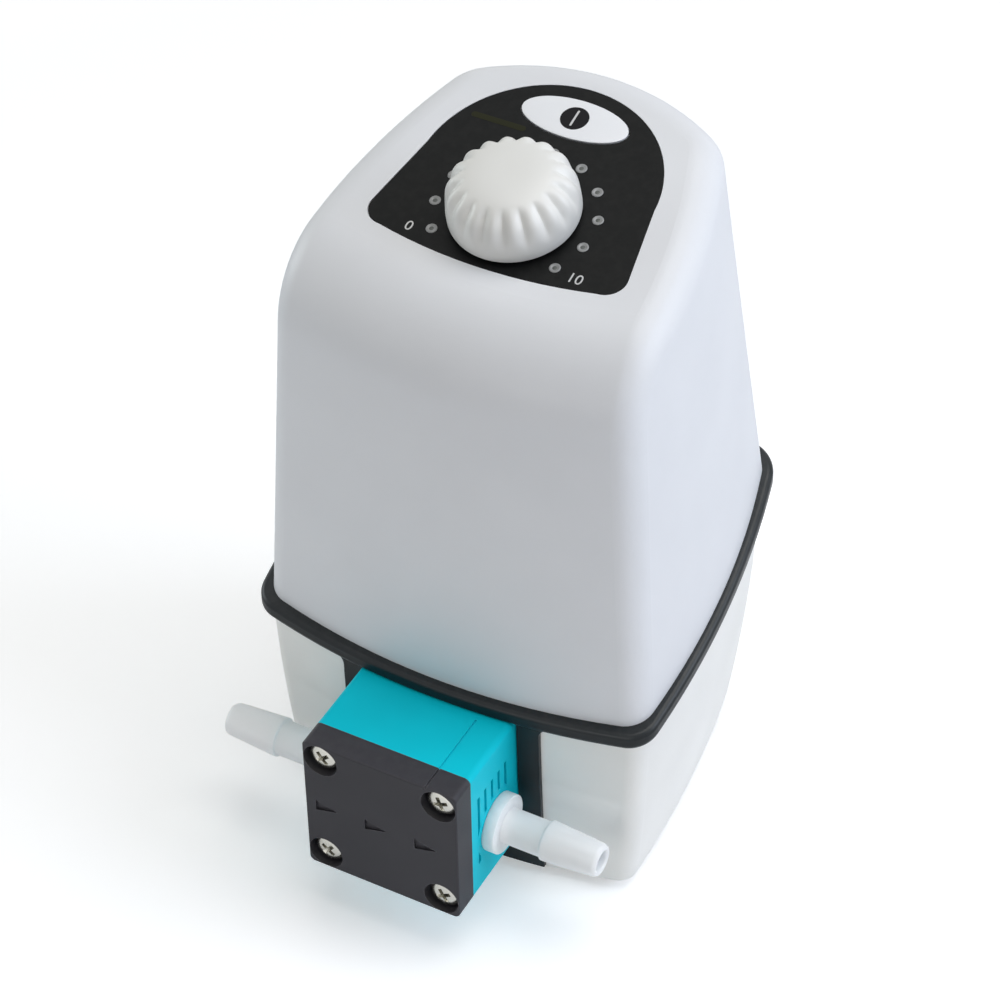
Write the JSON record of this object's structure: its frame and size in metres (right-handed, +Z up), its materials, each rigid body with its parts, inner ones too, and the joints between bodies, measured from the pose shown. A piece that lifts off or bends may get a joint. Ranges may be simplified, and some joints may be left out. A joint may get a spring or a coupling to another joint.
{
  "type": "diaphragm liquid pump",
  "caption": "Bench-top diaphragm liquid pump: rounded two-part housing with a tilted control panel, speed knob, power key and a square pump head with barbed hose connectors.",
  "frame": {"origin": "on the resting plane, under the middle of the object's width and depth", "axes": "+X to the right seen from the front, -Y towards the pump head at the front, +Z up"},
  "size_m": [0.1096, 0.1264, 0.1853],
  "materials": {
    "white_plastic": "fine satin moulded plastic",
    "grey_plastic": "satin moulded plastic, a little warmer and darker",
    "black_rubber": "satin moulded rubber",
    "foot_rubber": "matt rubber",
    "panel_film": "satin printed film",
    "key_plastic": "satin light grey plastic",
    "knob_plastic": "satin warm white plastic",
    "switch_plastic": "moulded plastic",
    "circuit_board": "coated board",
    "charcoal_plastic": "satin moulded plastic",
    "teal_plastic": "satin moulded plastic",
    "milky_plastic": "translucent moulded plastic",
    "valve_rubber": "moulded rubber",
    "inlet_plastic": "moulded plastic",
    "screw_steel": "nickel plated",
    "shaft_steel": "ground",
    "bearing_steel": "ground",
    "motor_steel": "zinc plated",
    "core_steel": "laminated steel",
    "magnet_ferrite": "pressed ferrite",
    "cast_aluminium": "die cast",
    "brass_metal": "turned"
  },
  "bodies": {
    "root": {"lower_housing": "grey_plastic", "upper_housing": "white_plastic", "seam_band": "black_rubber", "rubber_feet": "foot_rubber", "housing_screws": "screw_steel", "panel_overlay": "panel_film", "key_switch": "switch_plastic", "potentiometer": "switch_plastic", "pot_nut": "screw_steel", "control_board": "circuit_board", "board_screws": "screw_steel", "front_plate": "charcoal_plastic", "head_block": "teal_plastic", "head_screws": "screw_steel", "valve_plate": "teal_plastic", "valve_discs": "valve_rubber", "hose_connector_left": "milky_plastic", "hose_connector_right": "milky_plastic", "connector_seals": "valve_rubber", "diaphragm": "valve_rubber", "diaphragm_stud": "shaft_steel", "crankcase": "cast_aluminium", "motor_plate": "cast_aluminium", "motor_screws": "screw_steel", "motor_can": "motor_steel", "motor_magnets": "magnet_ferrite", "motor_bearings": "bearing_steel", "motor_brushes": "switch_plastic", "power_inlet": "inlet_plastic", "inlet_pin": "screw_steel", "inlet_nut": "screw_steel"},
    "crankshaft": {"motor_shaft": "shaft_steel", "armature": "core_steel", "crank_hub": "shaft_steel", "counterweight": "brass_metal"},
    "rod": {"connecting_rod": "cast_aluminium", "rod_bearing": "bearing_steel"},
    "knob": {"speed_knob": "knob_plastic", "knob_shaft": "shaft_steel"},
    "key": {"power_key": "key_plastic"}
  },
  "joints": [
    {"name": "motor_spin", "type": "hinge", "parent": "root", "child": "crankshaft", "pos_m": [0, 0.0033, 0.0347], "axis": [0, 0, 1], "continuous": true},
    {"name": "rod_swing", "type": "hinge", "parent": "crankshaft", "child": "rod", "pos_m": [0, 0.0018, 0.0347], "axis": [0, 0, 1], "continuous": true},
    {"name": "knob_turn", "type": "hinge", "parent": "root", "child": "knob", "pos_m": [0, 0.0073, 0.1702], "axis": [0, -0.2326, 0.9726], "range_deg": [-125, 125]},
    {"name": "key_press", "type": "slide", "parent": "root", "child": "key", "axis": [0, 0.2326, -0.9726], "range_m": [0, 0.0005], "stiffness_N_per_m": 4000}
  ],
  "couplings": [
    {"joint": "rod_swing", "follows": "motor_spin", "ratio": -1}
  ]
}
